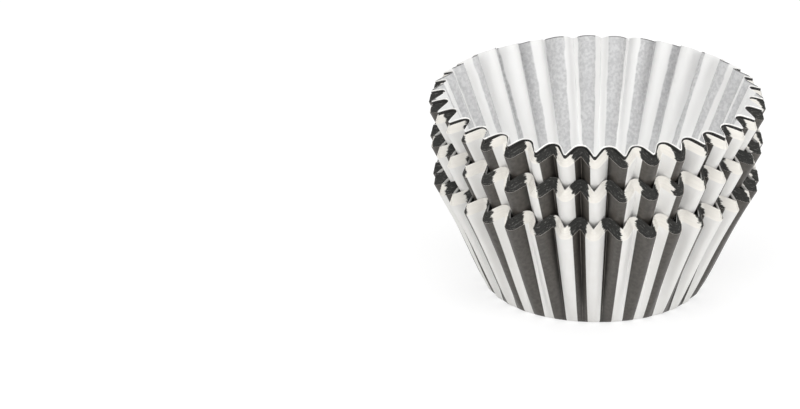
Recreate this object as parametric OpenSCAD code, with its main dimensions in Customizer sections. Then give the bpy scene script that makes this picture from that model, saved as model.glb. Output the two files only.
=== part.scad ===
// A stack of pleated paper cupcake liners: three bundles of tightly nested
// liners, one wedged in another, and a few liners that have come loose on top.
// Every liner is pressed from the same flat disc, so its pleats, its wall and
// its place in a bundle follow from that disc and from the paper around it.
// Millimetres, +Z up, origin at the centre of the lowest base.

/* [Liner] */
// Diameter of the flat paper disc that a liner is pressed from
disc_d = 113.5; // [110:0.5:117]
// Diameter of a liner's base, at the fold where its wall starts
base_d = 52; // [49:0.5:55]
// Number of pleats round the wall
pleats = 36; // [32:1:40]
// Width of the rounding at the fold between base and wall
corner_w = 0.8; // [0.4:0.1:1.2]
// Smallest bend radius of a pleat's fold
crease_r = 0.15; // [0.1:0.05:0.3]
// Depth of a pleat as a share of a sharp zigzag of the same paper
pleat_fill = 0.94; // [0.88:0.01:0.98]

/* [Bundles] */
// Thickness of the lower bundle, its liners pressed together
lower_t = 1.8; // [1.4:0.05:2.2]
// Thickness of the middle bundle, its liners pressed together
middle_t = 1.8; // [1.4:0.05:2.2]
// Thickness of the upper bundle, without the loosened liners
upper_t = 1.35; // [1:0.05:1.8]
// Lean of the lower bundle's wall from the vertical, in degrees
lower_flare = 23.8; // [22.9:0.1:24.9]
// Lean of the middle bundle's wall
middle_flare = 24.8; // [23.9:0.1:25.7]
// Lean of the upper bundle's wall
upper_flare = 25.6; // [24.6:0.1:26.6]
// Clearance between a bundle and the pleats that it is wedged in
seat_clear = 0.25; // [0.2:0.05:0.5]

/* [Loosened liners] */
// Thickness of the few liners that have come loose on top
loose_t = 0.25; // [0.15:0.05:0.4]
// Height that they stand clear of the bundle under them
loose_lift = 0.5; // [0.3:0.05:0.8]

/* [Hidden] */

disc_r = disc_d / 2;
base_r = base_d / 2;

// Points round one pleat, and round the whole wall
PLEAT_POINTS = 6;
ring_points = PLEAT_POINTS * pleats;
// Rings of points along a wall, as shares of its length from base to rim
FIRST_RING = 0.04;
BEND_RING = 0.35;
RIM_RING = 1;
// Place of the point between the crown of a round fold and its end
ARC_MID = 0.55;

// How a liner nests: one that lies t inside another has its base t higher,
// and its corner further in, so that the two walls also stay t apart
function corner_r(t, flare) = base_r - t * (1 / cos(flare) - tan(flare));
function wall_len(t, flare) = disc_r - corner_r(t, flare);

// The wall at l along it: its mean radius, and half the width of a pleat
function wall_r(l, t, flare) = corner_r(t, flare) + l * sin(flare);
function half_w(l, t, flare) = PI * wall_r(l, t, flare) / pleats;
// Depth of a pleat there: a ring of the flat disc is longer than the wall
// that it has to go round, and the pleats take up the spare length
function depth(l, t, flare) =
    pleat_fill * PI / pleats
    * sqrt(pow(corner_r(t, flare) + l, 2) - pow(wall_r(l, t, flare), 2));

// Bend radii of the outward and inward folds, t into a bundle total thick.
// A bundle's outer side bends widely round its outward folds and tightly in
// its inward ones, and its inner side the other way about
function out_r(t, total) = crease_r + total - t;
function in_r(t) = crease_r + t;

// Slope of the straight flank that joins an outward fold of radius ro to an
// inward fold of radius ri, in a pleat w half wide and d deep
function flank_a(w, d, ro, ri) =
    atan2(d - ro - ri, w) + asin(min(1, (ro + ri) / norm([w, d - ro - ri])));
// Height of the pleat over the wall's mean line, at x from its outward fold
function pleat_y(x, w, d, ro, ri) =
    let (a = flank_a(w, d, ro, ri),
         crown = d / 2 - ro,
         valley = ri - d / 2,
         out_end = ro * sin(a),
         in_start = w - ri * sin(a))
    x < out_end ? crown + sqrt(max(0, ro * ro - x * x))
    : x > in_start ? valley - sqrt(max(0, ri * ri - pow(w - x, 2)))
    : crown + ro * cos(a) - (x - out_end) * tan(a);

// One point of a bundle's side, [radius, height]: s is the share of the wall's
// length and x the share of a half pleat. The paper keeps its length along
// each fold, so the point's height follows from its radius
function side_point(s, x, t, total, flare) =
    let (l = s * wall_len(t, flare),
         w = half_w(l, t, flare),
         r = wall_r(l, t, flare)
             + pleat_y(x * w, w, depth(l, t, flare), out_r(t, total), in_r(t)))
    [r, t + sqrt(max(0, l * l - pow(r - corner_r(t, flare), 2)))];

// Shares of a half pleat at which a side has points: three on its wide fold,
// which is the outward one on an outer side, and one on its tight fold
function shares(s, t, total, flare) =
    let (l = s * wall_len(t, flare),
         w = half_w(l, t, flare),
         ro = out_r(t, total),
         ri = in_r(t),
         end = max(ro, ri) * sin(flank_a(w, depth(l, t, flare), ro, ri)) / w,
         e = min(0.9, end))
    ro > ri ? [0, ARC_MID * e, e, 1] : [0, 1 - e, 1 - ARC_MID * e, 1];

// One ring of points round the wall
function wall_ring(s, t, total, flare) =
    let (half = shares(s, t, total, flare),
         whole = [for (i = [0:3]) half[i], for (i = [2:-1:1]) 2 - half[i]])
    [for (p = [0:pleats - 1]) for (q = whole)
        let (point = side_point(s, q > 1 ? 2 - q : q, t, total, flare),
             a = 360 * (p + q / 2) / pleats)
        [point[0] * cos(a), point[0] * sin(a), point[1]]];

// Ring of points round a flat base
function base_ring(r, z) =
    [for (i = [0:ring_points - 1])
        let (a = 360 * i / ring_points) [r * cos(a), r * sin(a), z]];

// Closed solid over rings that run from the base outside over the rim to the
// base inside; the rim lies between rings rim and rim + 1. Its four-sided
// facets are split as mirror images in the two halves of a pleat, and in the
// same way outside and inside, so that sides of one shape nest
module skin(rings, rim) {
    n = ring_points;
    last = (len(rings) - 1) * n;
    polyhedron(
        [for (ring = rings) each ring],
        [
            [for (i = [0:n - 1]) i],
            for (k = [0:len(rings) - 2]) for (i = [0:n - 1])
                let (a = k * n + i,
                     b = k * n + (i + 1) % n,
                     first_half = i % PLEAT_POINTS < PLEAT_POINTS / 2)
                each first_half == (k <= rim)
                    ? [[a, b + n, b], [a, a + n, b + n]]
                    : [[a, a + n, b], [b, a + n, b + n]],
            [for (i = [n - 1:-1:0]) last + i]
        ],
        convexity = 10);
}

// The liners from depth t0 to depth t1 of a bundle that is total thick.
// Its outer corner is rounded where corner is more than nothing
module liners(t0, t1, total, flare, corner) {
    outside = [
        base_ring(corner_r(t0, flare) - corner, t0),
        if (corner > 0) wall_ring(FIRST_RING, t0, total, flare),
        for (s = [BEND_RING, RIM_RING]) wall_ring(s, t0, total, flare)
    ];
    inside = [
        for (s = [RIM_RING, BEND_RING]) wall_ring(s, t1, total, flare),
        base_ring(corner_r(t1, flare), t1)
    ];
    skin(concat(outside, inside), len(outside) - 1);
}

// How high a bundle stops inside the one below it. At each share of a pleat
// and of the wall, the upper one's outer side has to clear the lower one's
// inner side at the same radius, and the tightest place decides
PROBES_X = [0:0.1:1];
PROBES_S = [0.05:0.05:1];
function outer_profile(x, total, flare) =
    [for (s = [0, each PROBES_S]) side_point(s, x, 0, total, flare)];
function need_at(p, profile) = p[1] - (p[0] < base_r ? 0 : lookup(p[0], profile));
function wedge_rise(t, flare, total_up, flare_up) =
    seat_clear / sin(flare_up)
    + max([for (x = PROBES_X)
        let (profile = outer_profile(x, total_up, flare_up))
        for (s = PROBES_S) need_at(side_point(s, x, t, t, flare), profile)]);

upper_total = upper_t + loose_t;
middle_z = wedge_rise(lower_t, lower_flare, middle_t, middle_flare);
upper_z = middle_z + wedge_rise(middle_t, middle_flare, upper_total, upper_flare);

module lower_bundle() {
    color("#e9e6e0") liners(0, lower_t, lower_t, lower_flare, corner_w);
}

module middle_bundle() {
    color("#4a4541") translate([0, 0, middle_z])
        liners(0, middle_t, middle_t, middle_flare, corner_w);
}

module upper_bundle() {
    color("#e9e6e0") translate([0, 0, upper_z])
        liners(0, upper_t, upper_total, upper_flare, corner_w);
}

module loose_liners() {
    color("#cfcdc9") translate([0, 0, upper_z + loose_lift])
        liners(upper_t, upper_total, upper_total, upper_flare, 0);
}

lower_bundle();
middle_bundle();
upper_bundle();
loose_liners();
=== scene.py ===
# %% [markdown]
# A stack of pleated paper cupcake liners. It is three bundles of tightly nested
# liners, each wedged in the one below, and a few liners that have come loose on
# top. The frame gives the solids at their real size. This lesson dresses them:
# every bundle becomes one closed surface on which each liner has its own cut
# edge, and the paper gets its ink, its show-through and its fibres.

# %% Frame
import math
from collections import namedtuple

import bpy
import numpy as np
from mathutils import Matrix, Vector


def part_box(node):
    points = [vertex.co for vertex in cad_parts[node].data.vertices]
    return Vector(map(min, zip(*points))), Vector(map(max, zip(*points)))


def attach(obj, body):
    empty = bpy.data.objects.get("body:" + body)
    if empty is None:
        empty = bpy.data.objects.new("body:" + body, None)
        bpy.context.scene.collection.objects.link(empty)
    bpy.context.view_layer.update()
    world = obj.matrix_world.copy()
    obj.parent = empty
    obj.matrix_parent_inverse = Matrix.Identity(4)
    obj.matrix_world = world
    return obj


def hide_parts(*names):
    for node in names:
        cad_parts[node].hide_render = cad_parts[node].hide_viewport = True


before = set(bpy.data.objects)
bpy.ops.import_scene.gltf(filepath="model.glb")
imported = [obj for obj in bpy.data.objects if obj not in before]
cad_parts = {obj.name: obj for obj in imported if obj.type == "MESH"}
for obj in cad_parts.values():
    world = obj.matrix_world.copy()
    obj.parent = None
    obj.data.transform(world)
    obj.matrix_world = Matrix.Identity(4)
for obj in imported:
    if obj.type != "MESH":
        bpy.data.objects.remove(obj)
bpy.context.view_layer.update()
MM = 0.001

# %% [markdown]
# Every liner is pressed from the same flat disc of paper. The disc's middle
# stays flat as the base, and the ring around it is pleated into a wall. All
# lengths below are millimetres until a mesh is made. The heights of the bundles
# aren't written here: they are read from the frame.

# %% The liner's own sizes
DISC_R = 113.5 / 2
BASE_R = 52 / 2
PLEATS = 36
CREASE_R = 0.15  # smallest bend radius of a fold
PLEAT_FILL = 0.94  # depth of a pleat as a share of a sharp zigzag's


def node_height(node):
    """The lowest point of a CAD node, in millimetres."""
    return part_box(node)[0].z / MM


print("base heights", {n: round(node_height(n), 2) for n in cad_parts})

# %% [markdown]
# A liner that lies t deep in a bundle has its base t higher, and its corner a
# little further in, so that the two walls also stay t apart. The wall leans
# outward by the flare. A ring of the flat disc is longer than the wall that it
# has to go round, and the pleats take up that spare length, so they are deeper
# towards the rim. The pleats could be a bump on a plain cone, but the rim shows
# their section, so they are worked out from the length of the paper.

# %% The wall and its pleats
# total is the whole bundle's thickness, flare the lean of its wall in radians,
# and ease what its inward folds bend wider than a pressed bundle's
Form = namedtuple("Form", "total flare ease", defaults=[0.0])
LEAST_SLOPE = 1e-5  # keeps a fold's arc from having a negative length


def corner_r(t, form):
    """Radius of the fold between base and wall: the base radius, less t times what one over the
    cosine of the flare has over its tangent."""
    return BASE_R - t * (1 / math.cos(form.flare) - math.tan(form.flare))


def pleat_shape(l, t, form):
    """Mean radius, half width, depth, fold radii and flank slope of the pleats at l along the wall.
    Depth is PLEAT_FILL times a zigzag that uses up the paper: pi / pleats times the root of the
    flat ring's radius squared less the wall's radius squared."""
    corner = corner_r(t, form)
    mean = corner + l * math.sin(form.flare)
    half = np.pi * mean / PLEATS
    depth = PLEAT_FILL * np.pi / PLEATS * np.sqrt(np.maximum(0, (corner + l) ** 2 - mean**2))
    r_out, r_in = CREASE_R + form.total - t, CREASE_R + t + form.ease
    rest = depth - r_out - r_in
    slope = np.arctan2(rest, half) + np.arcsin(np.minimum(1, (r_out + r_in) / np.hypot(half, rest)))
    return mean, half, depth, r_out, r_in, np.maximum(slope, LEAST_SLOPE)


def fold_shares(shape):
    """The shares of a half pleat's paper that its outward and its inward fold take, each radius
    times slope over length, and the length: both arcs and the straight flank between them."""
    _, half, _, r_out, r_in, slope = shape
    flank = (half - (r_out + r_in) * np.sin(slope)) / np.cos(slope)
    length = (r_out + r_in) * slope + flank
    return r_out * slope / length, r_in * slope / length, length


def pleat_at(share, shape):
    """Place across and height over the mean wall of a point at a share of a half pleat's paper,
    counted from the outward fold: an arc, then a straight flank, then an arc the other way."""
    _, half, depth, r_out, r_in, slope = shape
    length = fold_shares(shape)[2]
    run = share * length
    end = length - run
    on_out, on_in = run < r_out * slope, end < r_in * slope
    across_out, up_out = r_out * np.sin(run / r_out), depth / 2 - r_out + r_out * np.cos(run / r_out)
    across_in, up_in = half - r_in * np.sin(end / r_in), r_in - depth / 2 - r_in * np.cos(end / r_in)
    past = run - r_out * slope
    across = r_out * np.sin(slope) + past * np.cos(slope)
    up = depth / 2 - r_out + r_out * np.cos(slope) - past * np.sin(slope)
    across = np.where(on_out, across_out, np.where(on_in, across_in, across))
    return across / half, np.where(on_out, up_out, np.where(on_in, up_in, up))


sample = Form(total=1.8, flare=math.radians(23.8))
at_rim = pleat_shape(DISC_R - BASE_R, 0.0, sample)
print("half a pleat at the rim is", round(float(at_rim[1]), 2), "mm wide, and a pleat",
      round(float(at_rim[2]), 2), "mm deep")

# %% [markdown]
# A pleat gets more points round its two folds than on its flanks: evenly spaced
# ones would have to be several times as many. The points are placed by their
# share of the paper, so each column of the grid follows one radial line of the
# flat disc, and a stripe printed on the disc can be drawn from that share.

# %% Points round one pleat
FOLD_STEPS = 4
FLANK_STEPS = 3
LEAST_FOLD = 0.08  # least share of a half pleat that a fold's points spread over
COLUMNS = PLEATS * 2 * (2 * FOLD_STEPS + FLANK_STEPS)


def half_pleat(shape):
    """Shares of a half pleat's paper from outward to inward fold, FOLD_STEPS in each fold."""
    first, last = (max(float(share), LEAST_FOLD) for share in fold_shares(shape)[:2])
    out = np.linspace(0, first, FOLD_STEPS + 1)
    flank = np.linspace(first, 1 - last, FLANK_STEPS + 1)[1:-1]
    return np.concatenate([out, flank, np.linspace(1 - last, 1, FOLD_STEPS + 1)])


def wall_row(s, t, form, lift=0.0):
    """One closed row of points at share s of a wall's length, as arrays (points, paper).
    Radius is the mean wall plus the pleat; height keeps the paper's length along each fold:
    the root of the length squared less the radius gained squared. paper counts pleats of paper.
    lift moves the row along the wall, and may differ from point to point."""
    corner = corner_r(t, form)
    l = s * (DISC_R - corner)
    shape = pleat_shape(l, t, form)
    half = half_pleat(shape)
    across, up = pleat_at(half, shape)
    across = np.concatenate([across, 2 - across[-2:0:-1]]) / 2
    paper = np.concatenate([half, 2 - half[-2:0:-1]]) / 2
    up = np.concatenate([up, up[-2:0:-1]])
    number = np.repeat(np.arange(PLEATS), len(up))
    angle = 2 * np.pi * (number + np.tile(across, PLEATS)) / PLEATS
    radius = shape[0] + np.tile(up, PLEATS)
    height = t + np.sqrt(np.maximum(0, l * l - (radius - corner) ** 2))
    radius = radius + lift * math.sin(form.flare)
    height = height + lift * math.cos(form.flare)
    points = np.stack([radius * np.cos(angle), radius * np.sin(angle), height], -1)
    return points, number + np.tile(paper, PLEATS)


def flat_row(radius, height):
    """One closed row of points round a flat base: radius times cosine and sine of even angles."""
    paper = np.arange(COLUMNS) * PLEATS / COLUMNS
    angle = 2 * np.pi * paper / PLEATS
    points = np.stack([radius * np.cos(angle), radius * np.sin(angle), np.full(COLUMNS, height)], -1)
    return points, paper


print("columns round a wall", COLUMNS)

# %% [markdown]
# Paper that has been pressed, packed and handled isn't perfectly round. Moving
# single pleats would push one bundle into the next, so one gentle warp bends
# all the bundles nearly alike and they stay nested. It draws the two sides in
# by up to 0.8 mm, most of all halfway up the lowest wall, spreads the left side
# of each base by up to 0.25 mm, and lets the pleats wander a little.

# %% Settling
SIDE_PULL, FULL_HEIGHT = 0.35, 30.0
WAIST, WAIST_Z, WAIST_REACH = 1.05, 17.0, 16.0
LEFT_SPREAD = 0.25
PLEAT_WANDER = math.radians(0.25)
WANDER_WAVES = ((3, 1.0, 0.6), (5, 0.7, 2.1), (8, 0.5, 4.0))  # periods, size and phase


def settle(points, height):
    """The points after the warp; height is how high the piece's own base stands. The angle gains
    the waves. The radius, as a share of DISC_R, times the cosine squared of the angle, times the
    pull, is what the radius loses. The pull is SIDE_PULL times the rise over the base, as a share
    of FULL_HEIGHT, and WAIST times the square of one less the squared distance from WAIST_Z,
    counted in WAIST_REACH. On the left the radius gains LEFT_SPREAD, which fades with the rise."""
    angle = np.arctan2(points[:, 1], points[:, 0])
    radius = np.hypot(points[:, 0], points[:, 1])
    rise = np.clip(points[:, 2] / FULL_HEIGHT, 0, 1)
    waist = np.clip(1 - ((points[:, 2] + height - WAIST_Z) / WAIST_REACH) ** 2, 0, 1) ** 2
    pull = (SIDE_PULL * rise + WAIST * waist) * np.cos(angle) ** 2
    waves = sum(size * np.sin(periods * angle + phase) for periods, size, phase in WANDER_WAVES)
    angle = angle + PLEAT_WANDER * waves
    spread = LEFT_SPREAD * np.clip(-np.cos(angle), 0, 1) * (1 - rise)
    radius = radius - pull * (radius / DISC_R) + spread * np.clip(radius / BASE_R, 0, 1)
    return np.stack([radius * np.cos(angle), radius * np.sin(angle), points[:, 2]], -1)


side = np.array([[34.0, 0.0, WAIST_Z]])
print("a point of the side at", side[0], "mm settles at", settle(side, 0.0)[0].round(2), "mm")

# %% [markdown]
# A bundle could be modelled as twenty or so thin shells, but their hidden faces
# would cost far more than they show. Instead one closed surface runs up the
# outside, climbs over every liner's cut edge like a stair, and goes down the
# inside. Each tread is a cut edge, each riser is the narrow strip of the next
# liner that shows behind it, and a groove parts them.

# %% Rows of a surface
PRINTED, EDGE, OUTER_EDGE, GAP, INSIDE = range(5)


class Pile:
    """Rows of points from the base outside, over the rim, to the base inside, and their bands."""

    def __init__(self):
        self.rows, self.papers, self.reach, self.depth = [], [], [], []
        self.finish, self.turn = [], []

    def add(self, row, reach, depth, finish, turn):
        """Adds a row at reach from the disc's middle and depth in the bundle; finish and turn
        belong to the band that ends at it, and turn may differ round the ring."""
        self.rows.append(row[0])
        self.papers.append(row[1])
        self.reach.append(reach)
        self.depth.append(depth)
        if len(self.rows) > 1:
            self.finish.append(finish)
            self.turn.append(turn + np.zeros(COLUMNS))


print("material numbers: printed", PRINTED, "cut edge", EDGE, "outermost", OUTER_EDGE,
      "gap", GAP, "inside", INSIDE)

# %% [markdown]
# A grid of rows and columns becomes a mesh through whole arrays of corner
# numbers, which is far quicker than adding faces one by one. Two maps go with
# it. The one called disc holds the place on the printed disc: the turn round it
# and the reach from its middle. The one called fold holds the place in the
# pleats: the pleats counted round, and the depth in the bundle.

# %% A closed mesh from the rows
FOLD_UNIT = 10  # millimetres of depth in one unit of the map called fold
SHARP_ANGLE = math.radians(40)


def closed_faces(bands):
    """Band, column and next column of each four-sided face, the corners of these faces, and those
    of the two fans of triangles that close the first and the last row to a pole."""
    band, column = (g.ravel() for g in np.meshgrid(np.arange(bands), np.arange(COLUMNS), indexing="ij"))
    after = (column + 1) % COLUMNS
    low, high = band * COLUMNS, (band + 1) * COLUMNS
    quads = np.stack([low + column, low + after, high + after, high + column], -1)
    here = np.arange(COLUMNS)
    beside, last = (here + 1) % COLUMNS, bands * COLUMNS
    poles = np.full(COLUMNS, last + COLUMNS)
    first_fan = np.stack([beside, here, poles], -1)
    last_fan = np.stack([last + here, last + beside, poles + 1], -1)
    return band, column, after, quads, first_fan, last_fan


def face_maps(pile, band, column, after):
    """Both maps, as the two coordinates of every corner of every face. A face that closes the
    ring counts on past the last pleat, and at a pole the count is halfway between its two."""
    paper, reach, depth, turn = (np.array(a) for a in (pile.papers, pile.reach, pile.depth, pile.turn))
    wrap = np.where(after == 0, PLEATS, 0)
    around = np.stack([paper[band, column], paper[band, after] + wrap,
                       paper[band + 1, after] + wrap, paper[band + 1, column]], -1)
    turned = np.stack([turn[band, c] for c in (column, after, after, column)], -1)
    rows = np.stack([band, band, band + 1, band + 1], -1)
    step = PLEATS / COLUMNS
    here = np.arange(COLUMNS) * step
    first_fan = np.stack([here + step, here, here + step / 2], -1)
    last_fan = np.stack([here, here + step, here + step / 2], -1)
    counted = np.concatenate([around.ravel(), first_fan.ravel(), last_fan.ravel()])
    turns = np.concatenate([turned.ravel(), np.repeat(turn[0], 3), np.repeat(turn[-1], 3)])
    reached = np.concatenate([reach[rows].ravel()] + [np.tile([r, r, 0], COLUMNS) for r in reach[[0, -1]]])
    deep = np.concatenate([depth[rows].ravel()] + [np.full(3 * COLUMNS, d) for d in depth[[0, -1]]])
    return {"disc": ((counted + turns) / PLEATS, reached / DISC_R),
            "fold": (counted / PLEATS, deep / FOLD_UNIT)}


def stand(name, data):
    """A new object in the scene for a mesh, a lamp or a camera."""
    thing = bpy.data.objects.new(name, data)
    bpy.context.scene.collection.objects.link(thing)
    return thing


def make_mesh(name, pile, height, materials):
    """The pile as one closed mesh at its height, with its maps and a material for each finish."""
    poles = [pile.rows[0].mean(0)[None], pile.rows[-1].mean(0)[None]]
    points = settle(np.concatenate(pile.rows + poles), height)
    points[:, 2] += height
    band, column, after, quads, first_fan, last_fan = closed_faces(len(pile.rows) - 1)
    corners = np.concatenate([quads.ravel(), first_fan.ravel(), last_fan.ravel()])
    starts = np.concatenate([np.arange(len(quads)) * 4, len(quads) * 4 + np.arange(2 * COLUMNS) * 3])
    mesh = bpy.data.meshes.new(name)
    mesh.vertices.add(len(points))
    mesh.vertices.foreach_set("co", (points * MM).ravel())
    mesh.loops.add(len(corners))
    mesh.loops.foreach_set("vertex_index", corners)
    mesh.polygons.add(len(starts))
    mesh.polygons.foreach_set("loop_start", starts)
    for title, (u, v) in face_maps(pile, band, column, after).items():
        uv = mesh.uv_layers.new(name=title)
        uv.data.foreach_set("uv", np.stack([u, v], -1).ravel().astype(np.float32))
    finish = np.array(pile.finish)
    slots = np.concatenate([finish[band]] + [np.full(COLUMNS, f) for f in finish[[0, -1]]])
    for material in materials:
        mesh.materials.append(material)
    mesh.polygons.foreach_set("material_index", slots.astype(np.int32))
    mesh.polygons.foreach_set("use_smooth", np.ones(len(starts), bool))
    mesh.update(calc_edges=True)
    mesh.validate()
    mesh.set_sharp_from_angle(angle=SHARP_ANGLE)
    print(name, "faces", len(mesh.polygons), "triangles", len(quads) * 2 + 2 * COLUMNS)
    return stand(name, mesh)


# %% [markdown]
# The rim is where a bundle shows what it is. The liners are never quite level:
# each one is drawn a little unevenly into its pleats, which gives the stripes
# on the cut edges their ragged sides, and stands up to a tenth of a millimetre
# lower. The print also drifts from the first liner to the last, and in one
# place, where the pressing tool pulled the paper round, it is turned a little
# more. Plain random numbers would look like dust and leave a seam, so sums of
# sines do this: they are smooth and close round the ring.

# %% Small unevenness
ANGLES = 2 * np.pi * np.arange(COLUMNS) / COLUMNS
PRINT_WAVES = 12, 5, 80
NOT_PULLED = 0, 1, 0


def ripple(rng, waves, least, most):
    """Smooth noise round the ring with a spread of 1: sines with random phases and random whole
    numbers of periods, from least to one under most, over the root of half their number."""
    periods = rng.integers(least, most, waves)[:, None]
    phases = rng.uniform(0, 2 * np.pi, waves)[:, None]
    return np.sin(periods * ANGLES + phases).sum(0) / math.sqrt(waves / 2)


def print_turns(rng, liners, first, last, pulled=NOT_PULLED, ragged=0.018, memory=0.82):
    """How far each liner's print is turned, in pleats, all round the ring: an even drift from
    first to last, and a ragged part of which each liner keeps a share from the one before.
    pulled is a place in degrees, a reach to both sides, and how far the print is turned there."""
    at, wide, most = pulled
    away = np.abs((np.degrees(ANGLES) - at + 180) % 360 - 180)
    near = np.clip(1 - away / wide, 0, 1)
    drift = np.linspace(first, last, liners)[:, None] - most * near * near * (3 - 2 * near)
    part, turns = ragged * ripple(rng, *PRINT_WAVES), []
    for i in range(liners):
        turns.append(-drift[i] - part)
        part = memory * part + ragged * ripple(rng, *PRINT_WAVES)
    return turns


print("a ripple's spread", round(float(ripple(np.random.default_rng(1), *PRINT_WAVES).std()), 2))

# %% [markdown]
# The base is flat and the wall is nearly straight from corner to rim, so both
# take few rows. Between them the paper was pressed round the edge of a former,
# which leaves a soft corner. A bevel could round it, but the pleats begin there,
# so three rows of its own lead from the flat base into the first pleated row.

# %% The base and the wall
CORNER_W, INNER_CORNER_W = 0.8, 0.5
CORNER_SHARE = 0.04  # share of the wall's length at which the rounded corner ends
CORNER_STEPS = (0.25, 0.5, 0.75)
BASE_RADII = (1.0, 8.0, 16.0)
NEAR_CORNER = 3.0  # how far inside the corner the base has another row
WALL_SHARES = np.concatenate([np.linspace(CORNER_SHARE, 0.3, 6), np.linspace(0.38, 1.0, 12)])


def corner_rows(t, form, share, corner):
    """Rows round a rounded corner, with their reach on the disc: a curve of the second degree
    from the flat base to the wall at share, with its handle at the paper's fold."""
    fold = corner_r(t, form)
    start, handle, end = flat_row(fold - corner, t), flat_row(fold, t), wall_row(share, t, form)
    rows = []
    for k in CORNER_STEPS:
        mix = [(1 - k) ** 2 * a + 2 * k * (1 - k) * h + k * k * e for a, h, e in zip(start, handle, end)]
        rows.append((mix, fold - corner + k * (corner + share * (DISC_R - fold))))
    return rows


def add_wall(pile, t, form, shares, finish, turn, raised):
    """Rows along a wall. Where the rim is raised, a row's lift grows with the fourth power of its
    share, so that the wall bends only near the rim."""
    fold = corner_r(t, form)
    for s in shares:
        pile.add(wall_row(s, t, form, raised * s**4), fold + s * (DISC_R - fold), t, finish, turn)


def outside(pile, t, form, turn, shares=WALL_SHARES, corner=CORNER_W, raised=0.0):
    """The base underneath, a rounded corner and the printed wall."""
    fold = corner_r(t, form)
    for radius in (*BASE_RADII, fold - NEAR_CORNER, fold - corner):
        pile.add(flat_row(radius, t), radius, t, PRINTED, turn)
    for row, reach in corner_rows(t, form, shares[0], corner):
        pile.add(row, reach, t, PRINTED, turn)
    add_wall(pile, t, form, shares, PRINTED, turn, raised)


def inside(pile, t, form, turn, shares, raised=0.0):
    """The plain inner side, from the rim down over a rounded corner to the base."""
    fold = corner_r(t, form)
    add_wall(pile, t, form, shares, INSIDE, turn, raised)
    for row, reach in reversed(corner_rows(t, form, shares[-1], INNER_CORNER_W)):
        pile.add(row, reach, t, INSIDE, turn)
    for radius in (fold - INNER_CORNER_W, fold - NEAR_CORNER, *reversed(BASE_RADII)):
        pile.add(flat_row(radius, t), radius, t, INSIDE, turn)


print("rows of a wall outside", len(WALL_SHARES))

# %% [markdown]
# Each liner stands a little higher than the one round it, so a rim is a stair of
# thin cut edges. They could be lines painted on a plain band, but they catch the
# light one by one, so each is modelled: one row for its inner side, one for the
# foot of the groove behind it, and one for the next liner's top.

# %% The rim
SLOPE_DOWN = 1.25  # how far along the wall a cut edge falls for each millimetre of its thickness
PAPER_T, FIRST_EDGE_T = 0.05, 0.09
MOST_OF_PITCH = 0.75  # an edge's greatest thickness as a share of a liner's room
GROOVE, OPEN_GROOVE = 0.06, 0.24
RIM_WAVES = 6, 1, 30


def rim(pile, t0, t1, form, turns, rng, uneven, open_after, raised=0.0):
    """The stair of cut edges from depth t0 to t1: for each liner its edge, the groove behind it
    and the strip of the next liner that shows, which stands up to twice uneven lower.
    open_after numbers the liners with an open groove behind them."""
    wall, liners = DISC_R - corner_r(t0, form), len(turns)
    pitch = (t1 - t0) / liners
    lift = raised
    for i in range(liners):
        t = t0 + i * pitch
        thick = pitch if i == liners - 1 else min(FIRST_EDGE_T if i == 0 else PAPER_T, MOST_OF_PITCH * pitch)
        share = 1 - SLOPE_DOWN * thick / wall
        finish = OUTER_EDGE if i == 0 else EDGE
        pile.add(wall_row(share, t + thick, form, lift), DISC_R, t + thick, finish, turns[i])
        if i == liners - 1:
            break
        groove = OPEN_GROOVE if i in open_after else GROOVE
        foot = 1 - (SLOPE_DOWN * pitch + groove) / wall
        pile.add(wall_row(foot, t + pitch, form, lift), DISC_R - groove, t + pitch, GAP, turns[i])
        lift = raised - uneven * (1 + 0.5 * ripple(rng, *RIM_WAVES)).clip(0, 2)
        pile.add(wall_row(1.0, t + pitch, form, lift), DISC_R, t + pitch, EDGE, turns[i + 1])


print("grooves between liners", GROOVE, "mm, open ones", OPEN_GROOVE, "mm")

# %% [markdown]
# The materials come before the pieces. A few helpers keep them short: one makes
# a node with its inputs set or joined, the others are small sums of nodes that
# every paper uses. All patterns are worked out and none is a picture, so they
# stay sharp close up.

# %% Material helpers
FINE = 3.0  # detail of the finer noise


def new_material(name):
    """An empty node tree with a Principled shader joined to the output."""
    material = bpy.data.materials.new(name)
    material.use_nodes = True
    tree = material.node_tree
    tree.nodes.clear()
    shader = tree.nodes.new("ShaderNodeBsdfPrincipled")
    output = tree.nodes.new("ShaderNodeOutputMaterial")
    tree.links.new(shader.outputs["BSDF"], output.inputs["Surface"])
    return material, tree, shader


def fill(tree, socket, value):
    """Sets an input to a value, or joins it to another node's output."""
    if isinstance(value, bpy.types.NodeSocket):
        tree.links.new(value, socket)
    else:
        socket.default_value = value


def add(tree, kind, inputs=None, **settings):
    """A node with its settings made and its inputs set or joined."""
    node = tree.nodes.new(kind)
    for key, value in settings.items():
        setattr(node, key, value)
    for key, value in (inputs or {}).items():
        fill(tree, node.inputs[key], value)
    return node


def math_node(tree, operation, a, b=0.0, c=0.0):
    """The result of one Math node."""
    return add(tree, "ShaderNodeMath", {0: a, 1: b, 2: c}, operation=operation).outputs[0]


def blend(tree, factor, a, b):
    """Colour a where factor is 0, and b where it is 1."""
    return add(tree, "ShaderNodeMix", {0: factor, 6: a, 7: b}, data_type="RGBA").outputs[2]


def ramp(tree, value, start, end, first, last, kind="LINEAR"):
    """first up to where value is start, last from where it is end, and even or soft between."""
    inputs = {0: value, 1: start, 2: end, 3: first, 4: last}
    return add(tree, "ShaderNodeMapRange", inputs, interpolation_type=kind).outputs[0]


def contrast(tree, value, gain, middle=0.5):
    """Half plus gain times what value has over middle, kept between 0 and 1."""
    inputs = {0: math_node(tree, "SUBTRACT", value, middle), 1: gain, 2: 0.5}
    return add(tree, "ShaderNodeMath", inputs, operation="MULTIPLY_ADD", use_clamp=True).outputs[0]


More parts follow.
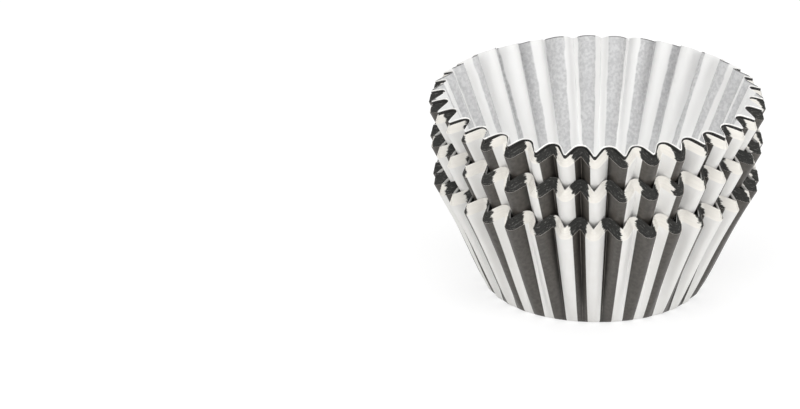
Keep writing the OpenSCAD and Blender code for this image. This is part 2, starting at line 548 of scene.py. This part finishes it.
def noise(tree, scale, detail=2.0):
    """Noise in object space, from 0 to 1; scale is in cycles for each metre."""
    place = add(tree, "ShaderNodeTexCoord").outputs["Object"]
    return add(tree, "ShaderNodeTexNoise", {"Vector": place, "Scale": scale, "Detail": detail}).outputs["Fac"]


def times(colour, k):
    """A colour made k times as light."""
    return tuple(k * c for c in colour[:3]) + (1,)


def bumped(tree, shader, height, distance):
    """Bump of a real height in metres."""
    bump = add(tree, "ShaderNodeBump", {"Height": height, "Distance": distance})
    tree.links.new(bump.outputs[0], shader.inputs["Normal"])


print("twice as light:", times((0.1, 0.2, 0.3, 1), 2))

# %% [markdown]
# The disc was printed flat, with even stripes from its middle to its edge. They
# could be drawn by the angle in space, but the paper swings to and fro in its
# folds. On the map called disc they are even turns, so they fan out and follow
# every fold by themselves. The map called fold says how near a point is to a
# crease, where paper is worn, bright or dark.

# %% Patterns that follow the paper
STRIPES = 30
OUTWARD, INWARD = 0.0, 0.5
SIDE_CLOUDS = 220


def map_place(tree, title):
    """The two coordinates of one of the piece's own maps."""
    split = add(tree, "ShaderNodeSeparateXYZ",
                {"Vector": add(tree, "ShaderNodeUVMap", uv_map=title).outputs["UV"]})
    return split.outputs[0], split.outputs[1]


def stripes(tree, sharpness, wobble=0.0, narrow=0.0):
    """1 on a printed stripe and 0 between: half plus sharpness times the cosine of the turn.
    wobble, in pleats, lets soft noise push a stripe's sides to and fro, and narrow thins it."""
    turn = map_place(tree, "disc")[0]
    if wobble:
        push = math_node(tree, "SUBTRACT", noise(tree, SIDE_CLOUDS), 0.5)
        turn = math_node(tree, "MULTIPLY_ADD", push, 2 * wobble / PLEATS, turn)
    wave = math_node(tree, "COSINE", math_node(tree, "MULTIPLY", turn, 2 * math.pi * STRIPES))
    return contrast(tree, wave, sharpness, narrow)


def near_fold(tree, fold, width):
    """1 on the pleats' OUTWARD or INWARD folds, and softly down to 0 at width, in pleats, from
    them: the distance is how far the fraction of the count lies from a half."""
    place = math_node(tree, "MULTIPLY_ADD", map_place(tree, "fold")[0], PLEATS, 0.5 - fold)
    off = math_node(tree, "ABSOLUTE", math_node(tree, "SUBTRACT", math_node(tree, "FRACT", place), 0.5))
    return ramp(tree, off, 0.0, width, 1.0, 0.0, "SMOOTHSTEP")


def along_edges(tree, along, across):
    """Noise drawn out along the liners' edges, with along waves for each pleat round the ring and
    across waves for each millimetre of depth."""
    turn, depth = map_place(tree, "fold")
    place = add(tree, "ShaderNodeCombineXYZ", {0: math_node(tree, "MULTIPLY", turn, PLEATS * along),
                                               1: math_node(tree, "MULTIPLY", depth, FOLD_UNIT * across)})
    inputs = {"Vector": place.outputs[0], "Scale": 1.0, "Detail": 2.0}
    return add(tree, "ShaderNodeTexNoise", inputs).outputs["Fac"]


print("pleats for each stripe", PLEATS / STRIPES)

# %% [markdown]
# The outer side is greaseproof paper, a slightly warm white with fine fibres,
# and satin ink of a brownish black. Light passes through the thin paper, so the
# white is given a painted glow in the inward folds, while the ink there gets
# painted shade. Along the very crease the ink is drawn lighter. The glow could
# come from a translucent shader, but a lighter colour near the fold is quiet and
# renders much faster.

# %% The printed side
WHITE = (0.88, 0.872, 0.85, 1)
DULL_WHITE = (0.85, 0.838, 0.81, 1)
PAINTED_GLOW_WHITE = (0.93, 0.923, 0.905, 1)
INK = (0.068, 0.061, 0.053, 1)
PAPER_ROUGH, INK_ROUGH = 0.62, 0.42
CLOUDS, GRAIN, PALE_CREASE_PATCHES, FIBRES = 260, 1100, 180, 900  # noise, in cycles for each metre
PAINTED_GLOW_WIDTH, PAINTED_SHADE_WIDTH, PALE_CREASE_WIDTH = 0.35, 0.20, 0.014  # reach from a crease, in pleats
MOST_PAINTED_SHADE = 0.75
PRINT_SHARP = 14.0
FIBRE_HEIGHT = 0.02 * MM


def printed_paper():
    """The outer side: warm white paper with satin stripes of ink, drawn lighter along the creases,
    with a painted glow on the white and painted shade on the ink in the inward folds.
    """
    material, tree, shader = new_material("printed_paper")
    ink = stripes(tree, PRINT_SHARP)
    paper = blend(tree, contrast(tree, noise(tree, CLOUDS, FINE), 2.5), WHITE, DULL_WHITE)
    # Painted glow: the white is drawn lighter near the inward folds.
    paper = blend(tree, near_fold(tree, INWARD, PAINTED_GLOW_WIDTH), paper, PAINTED_GLOW_WHITE)
    grain = contrast(tree, noise(tree, GRAIN, FINE), 3.0)
    black = blend(tree, grain, times(INK, 0.80), times(INK, 1.22))
    # Painted shade: the ink is drawn darker near the inward folds.
    shade = math_node(tree, "MULTIPLY", near_fold(tree, INWARD, PAINTED_SHADE_WIDTH), MOST_PAINTED_SHADE)
    black = blend(tree, shade, black, times(INK, 0.22))
    # The ink is drawn lighter along the very crease, in patches.
    patches = contrast(tree, noise(tree, PALE_CREASE_PATCHES), 3.0)
    pale_crease = math_node(tree, "MULTIPLY", near_fold(tree, INWARD, PALE_CREASE_WIDTH), patches)
    black = blend(tree, pale_crease, black, times(INK, 3.6))
    tree.links.new(blend(tree, ink, paper, black), shader.inputs["Base Color"])
    tree.links.new(ramp(tree, ink, 0.0, 1.0, PAPER_ROUGH, INK_ROUGH), shader.inputs["Roughness"])
    bumped(tree, shader, noise(tree, FIBRES, FINE), FIBRE_HEIGHT)
    return material


PRINT = printed_paper()
print("made", PRINT.name)

# %% [markdown]
# A cut edge shows the paper's own cream. At a stripe the ink has soaked into
# it, and the knife has left bare fibres in it as pale flecks. Both lie in thin
# lines along the liners, so the noise is drawn out that way. The soaked black is
# also darker than the printed ink, partly as painted shade. The outermost
# liner's edge is rubbed paler, the gaps get painted shade and are nearly black
# at a stripe, and the raised liners' edges are white all round, over the
# stripes as a painted highlight.

# %% The cut edges
CREAM = (0.95, 0.927, 0.88, 1)
# The gaps' cream and black are painted shade.
SHADED_CREAM = (0.78, 0.755, 0.70, 1)
# The raised edges' white is their own; over the stripes their dull white is a painted highlight.
RAISED_WHITE, RAISED_PAINTED_HIGHLIGHT = (0.94, 0.935, 0.92, 1), (0.88, 0.87, 0.85, 1)
# The soaked black is darker than the printed ink, partly as painted shade.
SOAKED_AND_SHADED_INK, SOAKED_FLECK = (0.030, 0.030, 0.028, 1), (0.13, 0.127, 0.12, 1)
RUBBED, RUBBED_FLECK = (0.40, 0.375, 0.345, 1), (0.46, 0.43, 0.40, 1)
# Painted shade in the gaps, at a stripe.
SHADED_GAP_BLACK, SHADED_GAP_FLECK = (0.015, 0.015, 0.014, 1), (0.03, 0.03, 0.028, 1)
LINES, FLECKS, SPOTS = (1.6, 4.5), (9.0, 5.0), (6.0, 7.0)  # waves for a pleat, and for a millimetre
CUT_SHARP, CUT_ROUGH = 6.0, 0.8


def cut_edge(name, light, dark, fleck):
    """Cut edges that are light between the stripes, and dark with two sizes of fleck on them."""
    material, tree, shader = new_material(name)
    ink = stripes(tree, CUT_SHARP)
    lines = contrast(tree, along_edges(tree, *LINES), 4.0)
    paper = blend(tree, lines, light, times(light, 0.95))
    black = blend(tree, lines, dark, times(dark, 1.45))
    black = blend(tree, contrast(tree, along_edges(tree, *FLECKS), 9.0, 0.62), black, fleck)
    black = blend(tree, contrast(tree, along_edges(tree, *SPOTS), 14.0, 0.70), black, times(fleck, 2.4))
    tree.links.new(blend(tree, ink, paper, black), shader.inputs["Base Color"])
    shader.inputs["Roughness"].default_value = CUT_ROUGH
    return material


EDGES = cut_edge("cut_edges", CREAM, SOAKED_AND_SHADED_INK, SOAKED_FLECK)
FIRST_EDGE = cut_edge("first_cut_edge", CREAM, RUBBED, RUBBED_FLECK)
# The gaps between liners get painted shade.
SHADED_GAPS = cut_edge("shaded_gaps_between_liners", SHADED_CREAM, SHADED_GAP_BLACK, SHADED_GAP_FLECK)
WHITE_EDGE = cut_edge("raised_cut_edge", RAISED_WHITE, RAISED_PAINTED_HIGHLIGHT, RAISED_PAINTED_HIGHLIGHT)
print("made", [m.name for m in (EDGES, FIRST_EDGE, SHADED_GAPS, WHITE_EDGE)])

# %% [markdown]
# The inner side isn't printed. The stripes show through it as a soft, cloudy
# grey, as they do through thin paper, and at the very edge the ink shows as a
# dark line. Near the outward folds the paper gets a painted glow, and in places
# thin grey lines of painted shade along their creases. A real show-through
# would need light inside the paper, and a blurred stripe looks the same.

# %% The inner side
PLAIN = (0.855, 0.853, 0.845, 1)
PLAIN_DULL = (0.83, 0.828, 0.815, 1)
INNER_PAINTED_GLOW = (0.90, 0.898, 0.89, 1)
SHOWN = (0.66, 0.66, 0.66, 1)
SHOWN_CLOUD = (0.52, 0.52, 0.525, 1)
SHOWN_DEEP = (0.49, 0.49, 0.495, 1)
LIP_GREY, CREASE_SHADE_GREY = (0.14, 0.14, 0.14, 1), (0.42, 0.42, 0.42, 1)
LIP_START, LIP_END = 0.40, 0.25  # millimetres below the rim between which the dark line fades in
SMALL_CLOUDS, WIDE_CLOUDS, CREASE_SHADE_PARTS, INNER_FIBRES = 1300, 160, 120, 700
INNER_PAINTED_GLOW_WIDTH, CREASE_SHADE_SPAN = 0.3, 0.02
MOST_DEEP, MOST_CREASE_SHADE = 0.35, 0.4
SHOWN_SHARP, SHOWN_WOBBLE, SHOWN_NARROW = 5.0, 0.06, 0.12
INNER_ROUGH = 0.55


def inner_paper():
    """The plain inner side, with the stripes showing through, a dark lip, a painted glow near the
    outward folds and lines of painted shade along their creases.
    """
    material, tree, shader = new_material("inner_paper")
    ink = stripes(tree, SHOWN_SHARP, SHOWN_WOBBLE, SHOWN_NARROW)
    cloud = contrast(tree, noise(tree, SMALL_CLOUDS, FINE), 4.5)
    wide = contrast(tree, noise(tree, WIDE_CLOUDS), 2.0)
    paper = blend(tree, wide, PLAIN, PLAIN_DULL)
    # Painted glow: the paper is drawn lighter near the outward folds.
    paper = blend(tree, near_fold(tree, OUTWARD, INNER_PAINTED_GLOW_WIDTH), paper, INNER_PAINTED_GLOW)
    grey = blend(tree, cloud, SHOWN, SHOWN_CLOUD)
    grey = blend(tree, math_node(tree, "MULTIPLY", wide, MOST_DEEP), grey, SHOWN_DEEP)
    reach = map_place(tree, "disc")[1]
    lip = ramp(tree, reach, 1 - LIP_START / DISC_R, 1 - LIP_END / DISC_R, 0.0, 1.0)
    colour = blend(tree, ink, paper, blend(tree, lip, grey, LIP_GREY))
    # Painted shade: thin grey lines along the outward folds' creases, in patches.
    shade_patches = contrast(tree, noise(tree, CREASE_SHADE_PARTS), 3.0, 0.47)
    crease_shade = math_node(tree, "MULTIPLY", near_fold(tree, OUTWARD, CREASE_SHADE_SPAN), shade_patches)
    colour = blend(tree, math_node(tree, "MULTIPLY", crease_shade, MOST_CREASE_SHADE), colour, CREASE_SHADE_GREY)
    tree.links.new(colour, shader.inputs["Base Color"])
    shader.inputs["Roughness"].default_value = INNER_ROUGH
    bumped(tree, shader, noise(tree, INNER_FIBRES, FINE), FIBRE_HEIGHT)
    return material


INNER = inner_paper()
print("made", INNER.name)

# %% [markdown]
# Between two bundles the paper is lit only along its edge, because the gap is
# deep and narrow. The light could be left to find its way in, but the model's
# bundles stand a little apart where real ones touch, and that would let too
# much of it in. So the paper there turns dark a little below its edge.

# %% Paper between two bundles
BURIED_BLACK = (0.02, 0.019, 0.018, 1)
INNER_LIP, PRINTED_LIP = 0.5, 0.02
CREST_WIDTH = 0.05
BURIED_ROUGH = 0.7


def buried_paper(name, lip):
    """White for lip millimetres below the rim, and dark from twice that depth and at the crests."""
    material, tree, shader = new_material(name)
    reach = map_place(tree, "disc")[1]
    lit = ramp(tree, reach, 1 - 2 * lip / DISC_R, 1 - lip / DISC_R, 0.0, 1.0, "SMOOTHSTEP")
    off_crest = math_node(tree, "SUBTRACT", 1.0, near_fold(tree, OUTWARD, CREST_WIDTH))
    colour = blend(tree, math_node(tree, "MULTIPLY", lit, off_crest), BURIED_BLACK, WHITE)
    tree.links.new(colour, shader.inputs["Base Color"])
    shader.inputs["Roughness"].default_value = BURIED_ROUGH
    return material


BURIED = buried_paper("buried_inner_paper", INNER_LIP)
SHADED = buried_paper("buried_printed_paper", PRINTED_LIP)
print("made", BURIED.name, SHADED.name)

# %% [markdown]
# Now the three bundles. They share one recipe and differ in thickness, flare,
# the number of liners and how their print is turned. A few of the gaps between
# liners are wider than the rest and show as dark lines.

# %% The three bundles
LOWER_T, MIDDLE_T, UPPER_T, LOOSE_T = 1.8, 1.8, 1.35, 0.25
LOWER_FLARE, MIDDLE_FLARE, UPPER_FLARE = (math.radians(a) for a in (23.8, 24.8, 25.6))
INSIDE_SHARES = (0.985, 0.93, 0.65, 0.37, 0.04)
RIM_UNEVEN = 0.05
OPEN_GAPS = 4


def bundle(name, thick, form, liners, drift, pulled, seed):
    """One bundle of nested liners as a closed surface."""
    rng = np.random.default_rng(seed)
    turns = print_turns(rng, liners, *drift, pulled)
    open_after = set(rng.choice(np.arange(2, liners - 2), OPEN_GAPS, replace=False).tolist())
    pile = Pile()
    outside(pile, 0.0, form, turns[0])
    rim(pile, 0.0, thick, form, turns, rng, RIM_UNEVEN, open_after)
    inside(pile, thick, form, turns[-1], INSIDE_SHARES)
    piece = make_mesh(name + "_paper", pile, node_height(name), [PRINT, EDGES, FIRST_EDGE, SHADED_GAPS, BURIED])
    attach(piece, "root")
    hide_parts(name)


bundle("lower_bundle", LOWER_T, Form(LOWER_T, LOWER_FLARE), liners=22,
       drift=(0.10, 0.04), pulled=(-35, 11, 0.15), seed=11)
bundle("middle_bundle", MIDDLE_T, Form(MIDDLE_T, MIDDLE_FLARE), liners=22,
       drift=(0.17, 0.11), pulled=(-35, 11, 0.18), seed=12)
bundle("upper_bundle", UPPER_T, Form(UPPER_T + LOOSE_T, UPPER_FLARE), liners=16,
       drift=(0.17, 0.08), pulled=(-24, 21, 0.28), seed=13)

# %% [markdown]
# The loosened liners stand a little clear of the bundle under them, and the gap
# between is dark. Their outward folds stand highest in front and lowest at the
# back, and at the inward folds they have sprung back towards the bundle, so
# there the gap all but closes. A copy of the bundle that is lifted evenly would leave an
# even gap all round, so their rim gets its own rise and fall. Their outer side
# hardly shows, but their inner side is the whole inside of the cup, so it gets
# most of the rows.

# %% The loosened liners
LOOSE = Form(UPPER_T + LOOSE_T, UPPER_FLARE, ease=0.6)
LOOSE_LINERS, LOOSE_OPEN = 3, {1}
LOOSE_CORNER_W, LOOSE_UNEVEN = 0.3, 0.02
LOOSE_OUTSIDE = np.linspace(CORNER_SHARE, 1.0, 14)
LOOSE_INSIDE = np.concatenate([[0.99], np.linspace(0.96, 0.03, 27)])
CREST_LIFT, CREST_TILT, CREST_LEAST = 0.04, 0.33, -0.14
VALLEY_LIFT, VALLEY_DIP = -0.04, 0.11
SAG, SAG_WAVES = 0.13, (8, 2, 30)


def rim_lift(rng, paper):
    """How far the rim is raised along the wall, all round: from the valleys' lift at the inward
    folds to the crests' lift at the outward ones by a cosine, less an uneven sag. The crests'
    lift falls with the sine of the angle, but never under CREST_LEAST. The valleys' lift is
    VALLEY_LIFT at the back and falls by up to VALLEY_DIP in front."""
    toward_back = np.sin(ANGLES)
    crest = np.maximum(CREST_LIFT - CREST_TILT * toward_back, CREST_LEAST)
    valley = VALLEY_LIFT - VALLEY_DIP * np.clip(-toward_back, 0, 1)
    outward = 0.5 + 0.5 * np.cos(2 * np.pi * paper)
    return valley + (crest - valley) * outward - SAG * (0.5 + ripple(rng, *SAG_WAVES)).clip(0, 2)


def loose_liners(seed):
    """The few raised liners as one thin closed surface."""
    rng = np.random.default_rng(seed)
    turns = print_turns(rng, LOOSE_LINERS, first=-0.02, last=-0.05, ragged=0.01)
    raised = rim_lift(rng, wall_row(1.0, UPPER_T, LOOSE)[1])
    pile = Pile()
    outside(pile, UPPER_T, LOOSE, turns[0], LOOSE_OUTSIDE, LOOSE_CORNER_W, raised)
    rim(pile, UPPER_T, LOOSE.total, LOOSE, turns, rng, LOOSE_UNEVEN, LOOSE_OPEN, raised)
    inside(pile, LOOSE.total, LOOSE, turns[-1], LOOSE_INSIDE, raised)
    base = node_height("loose_liners") - UPPER_T
    piece = make_mesh("loose_liners_paper", pile, base, [SHADED, WHITE_EDGE, WHITE_EDGE, SHADED_GAPS, INNER])
    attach(piece, "root")
    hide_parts("loose_liners")


loose_liners(seed=14)

# %% [markdown]
# The liners stand on a plain pale floor, which keeps their soft shadow. Without
# it they would seem to hang in the air. The background is white because the
# floor and the world are white to the camera, not because of more light on the
# paper. Seen from below, the floor isn't there, and a short ray from the base
# passes it, so that the underside isn't black.

# %% Floor
FLOOR_HALF = 3.0
FLOOR_Z = -0.05 * MM
FLOOR_CORNERS = ((-1, -1), (1, -1), (1, 1), (-1, 1))
FLOOR_GREY, FLOOR_ROUGH = 0.8, 0.9
SEEN_GREY, SEEN_GLOW = 0.33, 0.72
SHUT_IN = 0.5 * MM


def seen_directly(tree):
    """1 for rays from the camera, off a glossy surface or through a clear one, and 0 for others."""
    path = add(tree, "ShaderNodeLightPath").outputs
    passed_on = math_node(tree, "MAXIMUM", path["Is Glossy Ray"], path["Is Transmission Ray"])
    return math_node(tree, "MAXIMUM", path["Is Camera Ray"], passed_on)


def floor_material():
    """White to the camera with a part of the real shading, so that the shadow stays. Clear from
    below, and clear to diffuse rays that are shorter than SHUT_IN."""
    material, tree, shader = new_material("pale_floor")
    shader.inputs["Base Color"].default_value = (FLOOR_GREY, FLOOR_GREY, FLOOR_GREY, 1)
    shader.inputs["Roughness"].default_value = FLOOR_ROUGH
    glow = add(tree, "ShaderNodeEmission", {"Color": (1, 1, 1, 1), "Strength": SEEN_GLOW})
    diffuse = add(tree, "ShaderNodeBsdfDiffuse", {"Color": (SEEN_GREY, SEEN_GREY, SEEN_GREY, 1)})
    both = add(tree, "ShaderNodeAddShader", {0: glow.outputs[0], 1: diffuse.outputs[0]})
    mix = add(tree, "ShaderNodeMixShader", {0: seen_directly(tree), 1: shader.outputs[0], 2: both.outputs[0]})
    path = add(tree, "ShaderNodeLightPath").outputs
    short = math_node(tree, "LESS_THAN", path["Ray Length"], SHUT_IN)
    shut_in = math_node(tree, "MULTIPLY", path["Is Diffuse Ray"], short)
    below = add(tree, "ShaderNodeNewGeometry").outputs["Backfacing"]
    clear = add(tree, "ShaderNodeBsdfTransparent")
    sided = add(tree, "ShaderNodeMixShader", {0: math_node(tree, "MAXIMUM", below, shut_in),
                                              1: mix.outputs[0], 2: clear.outputs[0]})
    output = next(n for n in tree.nodes if n.type == "OUTPUT_MATERIAL")
    tree.links.new(sided.outputs[0], output.inputs["Surface"])
    return material


floor_mesh = bpy.data.meshes.new("floor")
floor_mesh.from_pydata([(x * FLOOR_HALF, y * FLOOR_HALF, FLOOR_Z) for x, y in FLOOR_CORNERS],
                       [], [(0, 1, 2, 3)])
floor_mesh.materials.append(floor_material())
floor = stand("floor", floor_mesh)
print("floor is", 2 * FLOOR_HALF, "m wide")

# %% [markdown]
# A studio gives soft even light from all round. A ring of lamps could do it, but
# the world does it at once. It is white to the camera and in glossy or clear
# surfaces, and less bright to everything else.

# %% World
WORLD_LIGHT = 0.57
world = bpy.data.worlds.new("studio")
bpy.context.scene.world = world
world.use_nodes = True
tree = world.node_tree
tree.nodes.clear()
light = add(tree, "ShaderNodeBackground", {"Color": (1, 1, 1, 1), "Strength": WORLD_LIGHT})
white = add(tree, "ShaderNodeBackground", {"Color": (1, 1, 1, 1), "Strength": 1.0})
mix = add(tree, "ShaderNodeMixShader", {0: seen_directly(tree), 1: light.outputs[0], 2: white.outputs[0]})
add(tree, "ShaderNodeOutputWorld", {"Surface": mix.outputs[0]})
print("world light", WORLD_LIGHT)

# %% [markdown]
# Four large soft lamps give the pleats their shape: one above, one on the left,
# a lower one on the right, and one behind for the back of the stack. They are
# placed in the directions of the camera, so that left means left in the picture.
# Small lamps would draw hard shadows that paper in a studio doesn't have.

# %% Lamps
TURN = math.radians(3.343)
RIGHT = Vector((math.cos(TURN), math.sin(TURN), 0))
AHEAD = Vector((-math.sin(TURN), math.cos(TURN), 0))
UP = Vector((0, 0, 1))
MIDDLE = Vector((0, 0, 0.03))
# Metres to the right, ahead and up from the middle of the stack, width, and watts
LAMPS = {
    "top": (0.0, -0.3, 0.9, 0.9, 3.6),
    "left": (-0.5, -0.7, 0.6, 0.6, 2.45),
    "right": (0.7, -0.7, 0.35, 0.7, 2.85),
    "back": (0.3, 0.9, 0.45, 0.8, 1.8),
}

for name, (right, ahead, up, size, watts) in LAMPS.items():
    lamp = bpy.data.lights.new(name, "AREA")
    lamp.size, lamp.energy = size, watts
    thing = stand(name, lamp)
    thing.location = MIDDLE + right * RIGHT + ahead * AHEAD + up * UP
    thing.rotation_mode = "QUATERNION"
    thing.rotation_quaternion = (MIDDLE - thing.location).to_track_quat("-Z", "Y")

# %% [markdown]
# The camera stands where the photograph's one did: far off with a long lens,
# about 22 degrees above the horizon. The stack isn't in the middle of the
# picture, so the camera is set off to the side and not turned to it.

# %% Camera
TILT = math.radians(22.457)
OFFSET = (47.649 * MM, -18.60 * MM, 1105.83 * MM)
FOCAL_PIXELS, FRAME_PIXELS = 4500, 800
SENSOR = 36
NEAREST, FARTHEST = 0.1, 50

forward = math.cos(TILT) * AHEAD - math.sin(TILT) * UP
upward = math.sin(TILT) * AHEAD + math.cos(TILT) * UP
camera_data = bpy.data.cameras.new("camera")
camera_data.sensor_width = SENSOR
camera_data.lens = FOCAL_PIXELS / FRAME_PIXELS * SENSOR
camera_data.clip_start, camera_data.clip_end = NEAREST, FARTHEST
camera = stand("camera", camera_data)
place = -OFFSET[0] * RIGHT - OFFSET[1] * upward - OFFSET[2] * forward
camera.matrix_world = Matrix.Translation(place) @ Matrix((RIGHT, upward, -forward)).transposed().to_4x4()
bpy.context.scene.camera = camera
bpy.context.scene.view_settings.view_transform = "Standard"
print("camera at", [round(x, 3) for x in place], "lens", round(camera_data.lens, 1))
